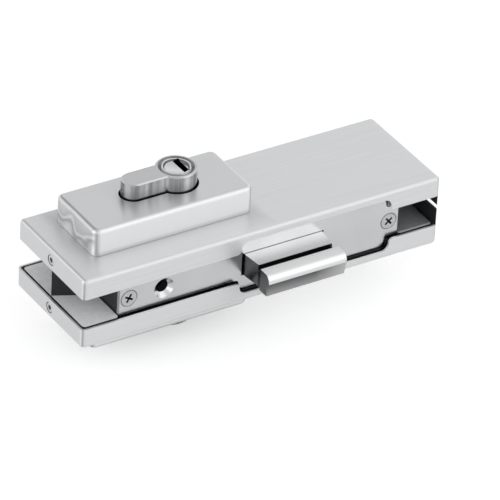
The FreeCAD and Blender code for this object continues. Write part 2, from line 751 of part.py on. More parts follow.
# Bolt tail: a steel plate let into the head, whose notch is the room that the cam's finger sweeps.
def bolt_tail():
    plate = joined(
        box(tail_left_x, tail_right_x, notch_y - tail_half_width, notch_y + tail_half_width,
            -tail_half_thickness, tail_half_thickness),
        box(bolt_left_x + bolt_waist, tail_right_x, tail_root_y, notch_y,
            -tail_half_thickness, tail_half_thickness))
    finger = cam_finger(cam_notch_gap, cam_half_thickness)
    for i in range(notch_cuts + 1):
        share = i / notch_cuts
        cutter = turned(finger, drive_half_angle * (2 * share - 1))
        cutter.translate(FreeCAD.Vector(0, -bolt_throw * share, 0))
        plate = less(plate, cutter)
    return less(plate, *[rod_z(x, rivet_y, rivet_radius, -bolt_half_thickness, bolt_half_thickness)
                         for x in rivet_xs()])


def bolt_rivets():
    return [rod_z(x, rivet_y, rivet_radius, -bolt_half_thickness, bolt_half_thickness) for x in rivet_xs()]


def leaf_screw_y():
    return leaf_rear_y - leaf_screw_radius * 2


# Detent: a bent leaf of spring steel beside the bolt. Its crest rests in the side notch while the bolt is
# thrown, and in the cross groove once it is drawn back.
def leaf_outline(side):
    """The leaf's bends in X and Y, on its bolt side or on its far side."""
    back_x = leaf_right_x - leaf_thickness
    crest_x = bolt_right_x - leaf_bite
    shift = leaf_thickness * side
    front_x = crest_x + leaf_front_rise
    return [(back_x + shift, leaf_rear_y - part_gap), (back_x + shift, leaf_bend_y),
            (crest_x + shift, detent_y), (front_x + shift, leaf_pocket_front_y + part_gap)]


def detent_spring():
    outline = leaf_outline(0) + leaf_outline(1)[::-1]
    leaf = slab(outline, -leaf_half_height, leaf_half_height)
    return less(leaf, rod_x(leaf_screw_y(), 0, leaf_screw_radius + hole_gap, bolt_right_x, half_length))


def detent_screw():
    seat_x = leaf_right_x - leaf_thickness
    head = rod_x(leaf_screw_y(), 0, leaf_screw_head_radius, seat_x - leaf_screw_radius, seat_x)
    shank = rod_x(leaf_screw_y(), 0, leaf_screw_radius, seat_x, seat_x + leaf_screw_length)
    slot = box(seat_x - leaf_screw_radius, seat_x - leaf_screw_radius / 2, leaf_screw_y() - cross_length,
               leaf_screw_y() + cross_length, -cross_width / 2, cross_width / 2)
    return less(joined(head, shank), slot)


# Black rubber in the slot: a pointed edge buffer at the left and two rim strips at the right end.
def edge_buffer():
    base_x = -block_half_length
    outline = [(base_x, buffer_nose_y - buffer_half_width), (base_x, buffer_nose_y + buffer_half_width),
               (-jaw_half_length, buffer_nose_y)]
    return slab(outline, -pad_face_z, pad_face_z - buffer_top_gap)


def edge_strip(z0, z1):
    z_axis = FreeCAD.Vector(0, 0, 1)
    strip = box(half_length - cover_sheet, half_length,
                -half_width + strip_end_gap, half_width - strip_end_gap, z0, z1)
    rim = box(-half_length, half_length, -half_width, half_width, z0, z1)
    return strip.common(rounded(rim, cover_corner_radius, lambda e: runs_along(e, z_axis)))


save("lock_case", lock_case())
save("upper_clamp_plate", upper_clamp_plate())
save("mechanism_lid", mechanism_lid())
save("lid_screws", *lid_screws())
save("clamp_screws", *clamp_screws())
save("upper_glass_pads", *glass_pads())
save("lower_glass_pads", *[below(pad) for pad in glass_pads()])
save("fascia", fascia())
save("fascia_screws", *fascia_screws())
save("top_cover", cover())
save("bottom_cover", below(cover()))
save("top_cylinder_housing", housing())
save("bottom_cylinder_housing", below(housing()))
save("grub_screws", *both_sides(grub_screws()))
save("cylinder_body", cylinder_body())
save("cylinder_fixing_screw", fixing_screw())
save("driver_pins", *both_sides(driver_pins()))
save("pin_springs", *both_sides(pin_springs()))
save("chamber_plugs", *both_sides(chamber_plugs()))
save("cam", cam())
save("cam_clutch", cam_clutch())
for side, placed in (("upper", lambda shape: shape), ("lower", below)):
    save(side + "_plug", placed(plug()))
    save(side + "_plug_clip", placed(plug_clip()))
    save(side + "_key_pins", *[placed(pin) for pin in key_pins()])
save("bolt_head", bolt_head())
save("bolt_tail", bolt_tail())
save("bolt_rivets", *bolt_rivets())
save("detent_spring", detent_spring())
save("detent_screw", detent_screw())
save("left_edge_buffer", edge_buffer())
save("right_lower_strip", edge_strip(-cover_rim_z, strip_lower_top_z))
save("right_upper_strip", edge_strip(strip_upper_bottom_z, cover_rim_z))
print("cam turns", round(2 * drive_half_angle, 3), "degrees for", bolt_throw, "mm of bolt travel")
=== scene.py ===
import math

import bpy
from mathutils import Matrix, Vector


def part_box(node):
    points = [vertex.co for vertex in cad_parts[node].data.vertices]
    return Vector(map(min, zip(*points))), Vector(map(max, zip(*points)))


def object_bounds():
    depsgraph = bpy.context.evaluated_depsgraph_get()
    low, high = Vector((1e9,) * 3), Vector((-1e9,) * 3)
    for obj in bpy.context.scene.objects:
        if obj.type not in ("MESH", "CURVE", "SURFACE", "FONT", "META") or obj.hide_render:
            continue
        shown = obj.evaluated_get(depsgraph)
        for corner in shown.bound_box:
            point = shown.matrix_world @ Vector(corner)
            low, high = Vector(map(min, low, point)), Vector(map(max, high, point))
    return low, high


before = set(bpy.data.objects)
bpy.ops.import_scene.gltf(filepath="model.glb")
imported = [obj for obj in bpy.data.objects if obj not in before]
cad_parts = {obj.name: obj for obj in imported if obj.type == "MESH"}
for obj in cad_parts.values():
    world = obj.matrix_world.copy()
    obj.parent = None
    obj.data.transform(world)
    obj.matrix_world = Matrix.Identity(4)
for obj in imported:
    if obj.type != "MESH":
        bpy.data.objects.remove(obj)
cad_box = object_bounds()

# Centre patch lock for a frameless glass door, lying as it would on a table, in metres.
# +X runs along the lock, -Y is the side that the bolt leaves by, and Z goes through the glass.


# Camera
# It looks from the front left and above, as the photograph does, through a long lens and with the horizon a
# little tilted.
MM = 0.001
camera_azimuth = math.radians(33.33)
camera_elevation = math.radians(33.22)
camera_roll = math.radians(3.27)
camera_distance = 2276.2 * MM
camera_reach = 9100.0 * MM
camera_angle = math.radians(5.0)
camera_shift_right = 7.96 * MM
camera_shift_up = -7.62 * MM

backward = Vector((-math.sin(camera_azimuth) * math.cos(camera_elevation),
                   -math.cos(camera_azimuth) * math.cos(camera_elevation),
                   math.sin(camera_elevation)))
level_right = Vector((0, 0, 1)).cross(backward).normalized()
level_up = backward.cross(level_right)
camera_right = level_right * math.cos(camera_roll) + level_up * math.sin(camera_roll)
camera_up = level_up * math.cos(camera_roll) - level_right * math.sin(camera_roll)
camera_place = backward * camera_distance + camera_right * camera_shift_right + camera_up * camera_shift_up

camera_data = bpy.data.cameras.new("camera")
camera_data.angle = camera_angle
camera_data.clip_end = camera_reach
camera = bpy.data.objects.new("camera", camera_data)
camera.matrix_world = Matrix.Translation(camera_place) @ Matrix(
    (camera_right, camera_up, backward)).transposed().to_4x4()
bpy.context.scene.collection.objects.link(camera)
bpy.context.scene.camera = camera


# Table and studio light
# A white painted table under a pale sky and two softboxes. It glows a little to the camera and in mirrors, so
# that it is white there. A dark screen far off at the back shows in the left folds as a thin dark line.
table_size = 6.0
table_white = "#eeeeee"
table_glow = "#ffffff"
table_glow_seen = 0.40
table_glow_mirrored = 0.04
sky_by_height = ((0.0, "#ffffff"), (0.30, "#f8f8f8"), (0.60, "#e6e6e6"), (1.0, "#d4d4d4"))
screen_grey = "#6a6a6a"
screen_towards = Vector((0.0, 0.60, 0.80)).normalized()
screen_edge = 0.92
screen_middle = 0.965
softboxes = {"left_softbox": {"place": (-1.38, -0.25, 0.42), "width": 2.0, "height": 1.0, "watts": 5.0},
             "front_softbox": {"place": (0.92, -1.40, 1.10), "width": 2.0, "height": 1.6, "watts": 5.0}}


def linear(hex_colour):
    """An sRGB hex colour as linear values with full alpha."""
    parts = [int(hex_colour[i:i + 2], 16) / 255 for i in (1, 3, 5)]
    return tuple(p / 12.92 if p <= 0.04045 else ((p + 0.055) / 1.055) ** 2.4 for p in parts) + (1.0,)


def add(tree, kind, inputs=(), output=None, stops=(), **settings):
    """Adds a shader node with its settings, and gives its named output, or else its first one in use.

    The inputs are numbers, hex colours or other nodes' outputs, by name or in the order of sockets in use.
    The stops are a colour ramp's places and hex colours.
    """
    node = tree.nodes.new("ShaderNode" + kind)
    for name, value in settings.items():
        setattr(node, name, value)
    if stops:
        ramp = node.color_ramp.elements
        ramp.remove(ramp[1])
        ramp[0].position = stops[0][0]
        ramp[0].color = linear(stops[0][1])
        for place, colour in stops[1:]:
            ramp.new(place).color = linear(colour)
    in_use = [socket for socket in node.inputs if socket.enabled]
    for key, value in inputs.items() if isinstance(inputs, dict) else enumerate(inputs):
        socket = node.inputs[key] if isinstance(key, str) else in_use[key]
        if isinstance(value, bpy.types.NodeSocket):
            tree.links.new(value, socket)
        else:
            socket.default_value = linear(value) if isinstance(value, str) else value
    return next((socket for socket in node.outputs if socket.enabled and output in (None, socket.name)), None)


def new_material(name):
    """A new material and its empty node tree."""
    made = bpy.data.materials.new(name)
    made.use_nodes = True
    made.node_tree.nodes.clear()
    return made, made.node_tree


bpy.ops.mesh.primitive_plane_add(size=table_size, location=(0, 0, cad_box[0].z))
table = bpy.context.active_object
table.name = "table"
white_table_paint, tree = new_material("white_table_paint")
ray = add(tree, "LightPath").node.outputs
seen = add(tree, "Math", (ray["Is Camera Ray"], table_glow_seen), operation="MULTIPLY")
lift = add(tree, "Math", (ray["Is Glossy Ray"], table_glow_mirrored, seen), operation="MULTIPLY_ADD")
paint = add(tree, "BsdfDiffuse", {"Color": table_white})
glow = add(tree, "Emission", {"Color": table_glow, "Strength": lift})
add(tree, "OutputMaterial", {"Surface": add(tree, "AddShader", (paint, glow))})
table.data.materials.append(white_table_paint)

sky = bpy.data.worlds.new("studio_sky")
sky.use_nodes = True
tree = sky.node_tree
tree.nodes.clear()
direction = add(tree, "TexCoord", output="Generated")
open_sky = add(tree, "ValToRGB", (add(tree, "SeparateXYZ", (direction,), output="Z"),), stops=sky_by_height)
nearness = add(tree, "VectorMath", (direction, screen_towards), operation="DOT_PRODUCT")
screen = add(tree, "MapRange", {"Value": nearness, "From Min": screen_edge, "From Max": screen_middle})
sky_colour = add(tree, "Mix", (screen, open_sky, screen_grey), data_type="RGBA")
add(tree, "OutputWorld", {"Surface": add(tree, "Background", {"Color": sky_colour, "Strength": 1.0})})
bpy.context.scene.world = sky

for name, softbox in softboxes.items():
    lamp_data = bpy.data.lights.new(name, "AREA")
    lamp_data.shape = "RECTANGLE"
    lamp_data.size = softbox["width"]
    lamp_data.size_y = softbox["height"]
    lamp_data.energy = softbox["watts"]
    lamp = bpy.data.objects.new(name, lamp_data)
    lamp.location = softbox["place"]
    lamp.rotation_mode = "QUATERNION"
    lamp.rotation_quaternion = Vector(softbox["place"]).to_track_quat("Z", "Y")
    bpy.context.scene.collection.objects.link(lamp)


# Case with its lower jaw
# A zinc die casting under black passivation: dull and dark, with a fine grain from the die. All the rest is
# held in it or screwed to it.
case_dark, case_light = "#46484a", "#55575a"
cast_grain = 0.5 * MM  # about 0.2 mm on the real casting, drawn coarser so that it shows
cast_depth = 0.03 * MM
even = (1, 1, 1)
noise_low, noise_high = 0.3, 0.7


def grain(tree, stretch, size, detail=2.0):
    """Noise with features of the given size in metres, drawn out along each axis by stretch."""
    place = add(tree, "TexCoord", output="Object")
    scaled = add(tree, "Mapping", {"Vector": place, "Scale": tuple(1 / (size * s) for s in stretch)})
    return add(tree, "TexNoise", {"Vector": scaled, "Scale": 1.0, "Detail": detail})


def two_tone(tree, pattern, dark, light):
    """The colour of a finish that goes from dark to light as the pattern does."""
    return add(tree, "ValToRGB", (pattern,), stops=((noise_low, dark), (noise_high, light)))


def dress(material, inputs, *names):
    """Ends the material in a Principled shader with these inputs, and gives it to the named parts."""
    tree = material.node_tree
    add(tree, "OutputMaterial", {"Surface": add(tree, "BsdfPrincipled", inputs)})
    for name in names:
        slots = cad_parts[name].data.materials
        slots.clear()
        slots.append(material)


black_passivated_zinc, tree = new_material("black_passivated_zinc")
skin = grain(tree, even, cast_grain, detail=3.0)
dress(black_passivated_zinc, {
    "Base Color": two_tone(tree, skin, case_dark, case_light), "Metallic": 1.0, "Roughness": 0.45,
    "Normal": add(tree, "Bump", {"Height": skin, "Distance": cast_depth})}, "lock_case")


# Upper jaw
# The same zinc casting, left bright: silver grey with the die's grain. The clamp screws pull it down on the
# glass.
jaw_dark, jaw_light = "#b2b4b6", "#c4c5c6"
bright_cast_zinc, tree = new_material("bright_cast_zinc")
skin = grain(tree, even, cast_grain, detail=3.0)
dress(bright_cast_zinc, {
    "Base Color": two_tone(tree, skin, jaw_dark, jaw_light), "Metallic": 1.0, "Roughness": 0.40,
    "Normal": add(tree, "Bump", {"Height": skin, "Distance": cast_depth})}, "upper_clamp_plate")


# Lid over the mechanism, with the screws inside the lock
# Pressed steel and machined screws under bright zinc plate, which is silvery with a faint cloudy bloom. The
# lid closes the case over the cam, the bolt's tail and the detent leaf.
plate_dark, plate_light = "#bcbec0", "#cfd0d0"
bloom_size = 3.0 * MM
zinc_plated_steel, tree = new_material("zinc_plated_steel")
bloom = grain(tree, even, bloom_size)
dress(zinc_plated_steel, {
    "Base Color": two_tone(tree, bloom, plate_dark, plate_light), "Metallic": 1.0, "Roughness": 0.25},
    "mechanism_lid", "lid_screws", "clamp_screws", "detent_screw", "cylinder_fixing_screw")


# Bolt with its rivets
# A stainless bar, ground along its width, so it shines in a streak along its nose. The sawn ends are painted
# dark, as a duller sawn face and a painted dark reflection. The milled groove is painted dark as painted
# shade, and so is the face under the nose's crease, fading towards the right end. Two rivets hold the tail
# plate in it.
bolt_dark, bolt_light = "#f0f1f1", "#f8f9f9"
sawn_end_shade_grey = "#6c6f71"
groove_shade_grey = "#3c3e3f"
shade_under_crease_by_height = ((0.0, "#b4b4b3"), (0.8, "#76787a"), (1.0, "#5e6062"))
shade_under_crease_right = "#cfcfcd"
bolt_low, bolt_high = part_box("bolt_head")
nose_crease_z = 1.2 * MM
nose_back_y = bolt_low.y + 1.64 * MM
shade_right_x = bolt_high.x
shade_middle_x = bolt_low.x + 21.66 * MM
groove_middle_y = bolt_low.y + 8.04 * MM
groove_half = 1.65 * MM
groove_edge = 0.15 * MM
sawn_slant = 0.85
end_slant = 0.8
grind_pitch = 0.5 * MM  # about 0.1 mm on the real bar, drawn wider so that it shows
grind_depth = 0.004 * MM
long_lines = (60, 1, 1)
across_the_lines = 0.25  # a quarter turn, so that the shine spreads across the brush lines


def place_of(tree):
    """The X, Y and Z of the point on the part, in metres."""
    return add(tree, "SeparateXYZ", (add(tree, "TexCoord", output="Object"),)).node.outputs


def slant(tree, axis):
    """How far the surface faces along an axis, from 0 to 1."""
    facing = add(tree, "SeparateXYZ", (add(tree, "NewGeometry", output="Normal"),), output=axis)
    return add(tree, "Math", (facing,), operation="ABSOLUTE")


def brushed_along(tree, axis, other):
    """The direction of the brush lines: one axis, or the other on the faces that look along the first."""
    ends = add(tree, "Math", (slant(tree, axis), end_slant), operation="GREATER_THAN")
    first, second = [tuple(float(letter == name) for letter in "XYZ") for name in (axis, other)]
    return add(tree, "Mix", (ends, first, second), data_type="VECTOR")


ground_stainless, tree = new_material("ground_stainless")
spot = place_of(tree)
grind = grain(tree, long_lines, grind_pitch)
steel = two_tone(tree, grind, bolt_dark, bolt_light)
# Painted dark on the sawn ends: a duller sawn face and a painted dark reflection.
sawn_end_shade = add(tree, "Math", (slant(tree, "X"), sawn_slant), operation="GREATER_THAN")
steel = add(tree, "Mix", (sawn_end_shade, steel, sawn_end_shade_grey), data_type="RGBA")
# Painted shade on the face under the nose's crease, darker up towards the crease and fading towards the right
# end.
rise = add(tree, "MapRange", {"Value": spot["Z"], "From Min": bolt_low.z, "From Max": nose_crease_z})
from_right = add(tree, "MapRange", {"Value": spot["X"], "From Min": shade_right_x,
                                    "From Max": shade_middle_x})
shade = add(tree, "ValToRGB", (rise,), stops=shade_under_crease_by_height)
shade = add(tree, "Mix", (from_right, shade_under_crease_right, shade), data_type="RGBA")
on_nose = add(tree, "Math", (spot["Y"], nose_back_y), operation="LESS_THAN")
below_crease = add(tree, "Math", (spot["Z"], nose_crease_z), operation="LESS_THAN")
shaded = add(tree, "Math", (on_nose, below_crease), operation="MULTIPLY")
steel = add(tree, "Mix", (shaded, steel, shade), data_type="RGBA")
# Painted shade in the milled groove.
in_groove = add(tree, "Math", (spot["Y"], groove_middle_y, groove_half), operation="COMPARE")
below_face = add(tree, "Math", (spot["Z"], 0.0, bolt_high.z - groove_edge), operation="COMPARE")
groove_shade = add(tree, "Math", (in_groove, below_face), operation="MULTIPLY")
steel = add(tree, "Mix", (groove_shade, steel, groove_shade_grey), data_type="RGBA")
dress(ground_stainless, {
    "Base Color": steel, "Metallic": 1.0, "Roughness": 0.30, "Anisotropic": 0.7,
    "Anisotropic Rotation": across_the_lines, "Tangent": brushed_along(tree, "X", "Y"),
    "Normal": add(tree, "Bump", {"Height": grind, "Distance": grind_depth})}, "bolt_head", "bolt_rivets")


# Bolt tail, cam and clutch
# Hardened steel with a dull oiled grey skin. The tail is a plate riveted into the bolt. The key turns the
# clutch and the cam, whose finger drives the tail.
oiled_dark, oiled_light = "#7e8082", "#8e9092"
oil_size = 2.0 * MM
hardened_steel, tree = new_material("hardened_steel")
oil = grain(tree, even, oil_size, detail=3.0)
dress(hardened_steel, {
    "Base Color": two_tone(tree, oil, oiled_dark, oiled_light), "Metallic": 1.0, "Roughness": 0.38},
    "bolt_tail", "cam", "cam_clutch")


# Detent leaf, plug clips and pin springs
# Spring steel, tempered after it was bent, which leaves it between blue-grey and straw in soft bands. A screw
# holds the leaf, the clips keep the plugs in the cylinder, and the springs press on the pins.
temper_blue, temper_straw = "#6c7076", "#86847c"
temper_size = 2.5 * MM
temper_bands = (3, 1, 1)
tempered_spring_steel, tree = new_material("tempered_spring_steel")
temper = grain(tree, temper_bands, temper_size)
dress(tempered_spring_steel, {
    "Base Color": two_tone(tree, temper, temper_blue, temper_straw), "Metallic": 1.0, "Roughness": 0.30},
    "detent_spring", "upper_plug_clip", "lower_plug_clip", "pin_springs")


# Profile cylinder with its chamber plugs
# Brass under satin nickel plate, drawn through a keyhole-shaped die, which leaves lines along Z. Its ends are
# faced, with painted shade in a dark ring round the plug's mouth, and its sides have painted shade, darker
# towards where they leave the housings.
drawn_by_shade = ((0.3, "#8e9192"), (0.5, "#b4b6b6"), (0.7, "#dcdede"))
faced_nickel = "#cacccd"
mouth_shade_grey = "#7c7f80"
cylinder_base_shade_grey = "#6e7274"
draw_pitch = 1.8 * MM  # a few tenths on the real cylinder, drawn wider so that the lines show
draw_depth = 0.006 * MM
upright_lines = (1, 1, 30)
faced_slant = 0.5
mouth_radius = 7.0 * MM
mouth_half = 0.4 * MM
cylinder_base_shade_reach = 4.5 * MM
cylinder_base_shade_most = 0.6
plug_low, plug_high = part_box("upper_plug")
plug_axis = (plug_low + plug_high) / 2
housing_low, housing_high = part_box("top_cylinder_housing")


def axis_distance(tree, axis):
    """How far the point on the part is from an upright axis, in metres."""
    place = add(tree, "TexCoord", output="Object")
    from_axis = add(tree, "VectorMath", (place, axis), operation="SUBTRACT")
    level = add(tree, "VectorMath", (from_axis, (1, 1, 0)), operation="MULTIPLY")
    return add(tree, "VectorMath", (level,), operation="LENGTH")


satin_nickel_plate, tree = new_material("satin_nickel_plate")
draw = grain(tree, upright_lines, draw_pitch, detail=3.0)
sides = add(tree, "ValToRGB", (draw,), stops=drawn_by_shade)
# Painted shade: a dark ring round the plug's mouth, where the plug meets the body.
mouth_shade = add(tree, "Math", (axis_distance(tree, plug_axis), mouth_radius, mouth_half), operation="COMPARE")
ends = add(tree, "Mix", (mouth_shade, faced_nickel, mouth_shade_grey), data_type="RGBA")
faced = add(tree, "Math", (slant(tree, "Z"), faced_slant), operation="GREATER_THAN")
nickel = add(tree, "Mix", (faced, sides, ends), data_type="RGBA")
# Painted shade on the sides, darker towards where they leave the housings.
height = add(tree, "Math", (place_of(tree)["Z"],), operation="ABSOLUTE")
cylinder_base_shade = add(tree, "MapRange", {"Value": height, "From Min": housing_high.z + cylinder_base_shade_reach,
                                 "From Max": housing_high.z, "To Max": cylinder_base_shade_most})
nickel = add(tree, "Mix", (cylinder_base_shade, nickel, cylinder_base_shade_grey), data_type="RGBA")
dress(satin_nickel_plate, {
    "Base Color": nickel, "Metallic": 1.0, "Roughness": 0.26, "Anisotropic": 0.5,
    "Anisotropic Rotation": across_the_lines, "Tangent": brushed_along(tree, "Z", "X"),
    "Normal": add(tree, "Bump", {"Height": draw, "Distance": draw_depth})}, "cylinder_body", "chamber_plugs")


# Plugs
# Nickel-plated brass, turned and faced, with a fine ring grain round their axis. The face is dished, and
# drawn deeper than its solid. The walls of the dish and the keyway, and the rim, are painted dark as painted
# shade.
turned_dark, turned_light = "#d8dadb", "#e2e4e5"
wall_shade_grey = "#606365"
plug_rim_shade_grey = "#a4a6a7"
ring_pitch = 0.35 * MM  # about 0.1 mm on the real plug, drawn wider so that it shows
rim_radius = 6.2 * MM
rim_half = 0.3 * MM
wall_slant = 0.85
dish_radius = 5.0 * MM
dish_per_metre = 30.0  # times the radius squared: 0.75 mm from the dish's middle to its edge
turned_nickel_plate, tree = new_material("turned_nickel_plate")
radius = axis_distance(tree, plug_axis)
turns = add(tree, "Math", (radius, 2 * math.pi / ring_pitch), operation="MULTIPLY")
rings = add(tree, "Math", (add(tree, "Math", (turns,), operation="SINE"), 0.5, 0.5), operation="MULTIPLY_ADD")
tone = add(tree, "Mix", (rings, turned_dark, turned_light), data_type="RGBA")
# Painted shade on the walls of the dish and the keyway.
wall_shade = add(tree, "Math", (slant(tree, "Z"), wall_slant), operation="LESS_THAN")
tone = add(tree, "Mix", (wall_shade, tone, wall_shade_grey), data_type="RGBA")
# Painted shade on the plug's rim, where it meets the cylinder.
rim_shade = add(tree, "Math", (radius, rim_radius, rim_half), operation="COMPARE")
tone = add(tree, "Mix", (rim_shade, tone, plug_rim_shade_grey), data_type="RGBA")
inner = add(tree, "Math", (radius, dish_radius), operation="MINIMUM")
steepness = add(tree, "Math", (inner, dish_per_metre), operation="MULTIPLY")
dish = add(tree, "Math", (inner, steepness), operation="MULTIPLY")
dress(turned_nickel_plate, {
    "Base Color": tone, "Metallic": 1.0, "Roughness": 0.24,
    "Normal": add(tree, "Bump", {"Height": dish, "Distance": 1.0})}, "upper_plug", "lower_plug")


# Pins
# Bare brass, turned from rod: yellow, with a faint mottle. They stand in pairs in the cylinder's chambers, a
# key pin and a driver pin in each.
brass_dark, brass_light = "#c9a75a", "#d8ba74"
mottle_size = 0.4 * MM
turned_brass, tree = new_material("turned_brass")
mottle = grain(tree, even, mottle_size)
dress(turned_brass, {
    "Base Color": two_tone(tree, mottle, brass_dark, brass_light), "Metallic": 1.0, "Roughness": 0.22},
    "upper_key_pins", "lower_key_pins", "driver_pins")


# Glass pads
# Gasket sheet of pressed fibre, matt, which the jaws press on the glass. It is painted pale at the left end
# of the lock as painted light, and dark at the right one as painted shade, with a painted highlight along the
# front edge there. The cut sides are painted black as painted shade.
lit_fibre_dark, lit_fibre_light = "#dcdedf", "#e8e9ea"
shaded_fibre_dark, shaded_fibre_light = "#7c8082", "#888c8e"
edge_highlight_grey = "#c4c8c9"
cut_side_shade_black = "#2c2e2f"
fibre_size = 0.6 * MM
fibre_depth = 0.02 * MM
fibre_lie = (3, 3, 1)
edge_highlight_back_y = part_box("lower_glass_pads")[0].y + 1.0 * MM
cut_slant = 0.5
pressed_fibre, tree = new_material("pressed_fibre")
spot = place_of(tree)
fibre = grain(tree, fibre_lie, fibre_size, detail=3.0)
lit_fibre = two_tone(tree, fibre, lit_fibre_dark, lit_fibre_light)
dark = two_tone(tree, fibre, shaded_fibre_dark, shaded_fibre_light)
# Painted highlight along the front edge of the dark pads' faces.
at_front = add(tree, "Math", (spot["Y"], edge_highlight_back_y), operation="LESS_THAN")
edge_highlight = add(tree, "Math", (at_front, slant(tree, "Z")), operation="MULTIPLY")
dark = add(tree, "Mix", (edge_highlight, dark, edge_highlight_grey), data_type="RGBA")
# Painted light and shade: the pads are pale at the left end, as if lit, and dark at the right, as if shaded.
at_right = add(tree, "Math", (spot["X"], 0.0), operation="GREATER_THAN")
sheet = add(tree, "Mix", (at_right, lit_fibre, dark), data_type="RGBA")
# Painted shade on the cut sides, in the gaps round the pads.
cut_side_shade = add(tree, "Math", (slant(tree, "Z"), cut_slant), operation="LESS_THAN")
sheet = add(tree, "Mix", (cut_side_shade, sheet, cut_side_shade_black), data_type="RGBA")
dress(pressed_fibre, {
    "Base Color": sheet, "Roughness": 0.6,
    "Normal": add(tree, "Bump", {"Height": fibre, "Distance": fibre_depth})},
    "upper_glass_pads", "lower_glass_pads")


# Rubber buffer and strips
# Black EPDM rubber, moulded and matt, with a sandy skin: a pointed buffer at the left end, and two strips
# along the rims at the right one. They lie in the slot and keep the glass off the metal.
rubber_dark, rubber_light = "#161717", "#202121"
sand_size = 0.3 * MM  # about 0.1 mm on the real rubber, drawn coarser so that it shows
sand_depth = 0.02 * MM
black_rubber, tree = new_material("black_rubber")
sand = grain(tree, even, sand_size, detail=3.0)
dress(black_rubber, {
    "Base Color": two_tone(tree, sand, rubber_dark, rubber_light), "Roughness": 0.7,
    "Normal": add(tree, "Bump", {"Height": sand, "Distance": sand_depth})},
    "left_edge_buffer", "right_lower_strip", "right_upper_strip")


# Fascia
# A polished stainless strip on the edge of the door, held by two screws. The polishing belt leaves it with
# long soft bands and fine lines.
fascia_dark, fascia_light = "#dadbdc", "#e6e7e8"
band_size = 16.0 * MM
band_depth = 0.04 * MM
band_stretch = (1.5, 1, 1)
belt_depth = 0.003 * MM
polished_stainless, tree = new_material("polished_stainless")
bands = grain(tree, band_stretch, band_size, detail=1.0)
belt = grain(tree, long_lines, grind_pitch)
banded = add(tree, "Bump", {"Height": bands, "Distance": band_depth})
dress(polished_stainless, {
    "Base Color": two_tone(tree, bands, fascia_dark, fascia_light), "Metallic": 1.0, "Roughness": 0.24,
    "Normal": add(tree, "Bump", {"Height": belt, "Distance": belt_depth, "Normal": banded})}, "fascia")


# Fascia screws
# Countersunk stainless screws, turned, with a pressed cross recess that is painted dark inside as painted
# shade.
# The rim of the head is painted darker, as shade in its countersink.
head_dark, head_light = "#ced0d1", "#dadcdc"
head_rim_grey = "#9a9c9d"
recess_shade_grey = "#3c3e40"
turning_size = 0.5 * MM
head_radius = 3.75 * MM
head_rim_width = 0.45 * MM
head_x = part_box("fascia_screws")[1].x - head_radius
recess_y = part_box("fascia")[0].y + 0.3 * MM
recessed_stainless, tree = new_material("recessed_stainless")
spot = place_of(tree)
turning = grain(tree, even, turning_size)
from_middle = add(tree, "Math", (spot["X"],), operation="ABSOLUTE")
sideways = add(tree, "Math", (from_middle, head_x), operation="SUBTRACT")
from_screw = add(tree, "CombineXYZ", {"X": sideways, "Z": spot["Z"]})
radius = add(tree, "VectorMath", (from_screw,), operation="LENGTH")
rim_shade = add(tree, "Math", (radius, head_radius - head_rim_width), operation="GREATER_THAN")
head = two_tone(tree, turning, head_dark, head_light)
head = add(tree, "Mix", (rim_shade, head, head_rim_grey), data_type="RGBA")
# Painted shade inside the cross recess.
deep_shade = add(tree, "Math", (spot["Y"], recess_y), operation="GREATER_THAN")
head = add(tree, "Mix", (deep_shade, head, recess_shade_grey), data_type="RGBA")
dress(recessed_stainless, {"Base Color": head, "Metallic": 1.0, "Roughness": 0.3}, "fascia_screws")


# Grub screws
# Turned stainless with a hexagon socket, bright and slightly mottled. They stand out of the jaws into the
# holes in the covers' ends, and hold the covers there.
grub_dark, grub_light = "#dcdddd", "#e8e9e9"
turned_stainless, tree = new_material("turned_stainless")
turning = grain(tree, even, turning_size)
dress(turned_stainless, {
    "Base Color": two_tone(tree, turning, grub_dark, grub_light), "Metallic": 1.0, "Roughness": 0.32},
    "grub_screws")


# Covers
# Stainless sheet, folded, welded in a grey seam at each corner and brushed along the lock to a satin. The
# seam is drawn wide as painted shade on the rounded corner. The top is painted darker round the housings, as
# painted shade beside them.
satin_dark, satin_light = "#e9eaeb", "#eeeff0"
seam_and_shade_grey = "#bcbebf"
shade_round_housings_grey = "#d6d8d9"
satin_pitch = 0.5 * MM  # about 0.1 mm on the real sheet, drawn wider so that it shows
satin_depth = 0.0015 * MM
satin_lines = (80, 1, 1)
wave_size = 9.0 * MM
wave_depth = 0.03 * MM
seam_share = 0.17  # of the corner's radius, on either side of the middle of the fold
cover_corner_radius = 2.0 * MM
shade_round_housings_reach = 11.0 * MM
shade_round_housings_reach_at_ends = 5.0 * MM
cover_low, cover_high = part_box("top_cover")


def past_span(tree, value, low, high):
    """How far a value lies outside the span from low to high, and less than 0 inside it."""
    from_middle = add(tree, "Math", (value, (low + high) / 2), operation="SUBTRACT")
    apart = add(tree, "Math", (from_middle,), operation="ABSOLUTE")
    return add(tree, "Math", (apart, (high - low) / 2), operation="SUBTRACT")


def satin_sheet(tree, low, high, corner_radius):
    """The colour of satin sheet with a grey seam, drawn wide as painted shade, at each upright corner of a
    box, and its brush as a height.
    """
    spot = place_of(tree)
    brush = grain(tree, satin_lines, satin_pitch)
    corner_inset = corner_radius * (1 - math.sqrt(0.5))
    seam_half = corner_radius * seam_share
    seam_and_shade = 1.0
    # A grey weld seam on each upright corner, widened as painted shade on the rounded corner.
    for axis, least, most in zip("XY", low, high):
        past = past_span(tree, spot[axis], least, most)
        on_line = add(tree, "Math", (past, -corner_inset, seam_half), operation="COMPARE")
        seam_and_shade = add(tree, "Math", (seam_and_shade, on_line), operation="MULTIPLY")
    sheet = two_tone(tree, brush, satin_dark, satin_light)
    return add(tree, "Mix", (seam_and_shade, sheet, seam_and_shade_grey), data_type="RGBA"), brush


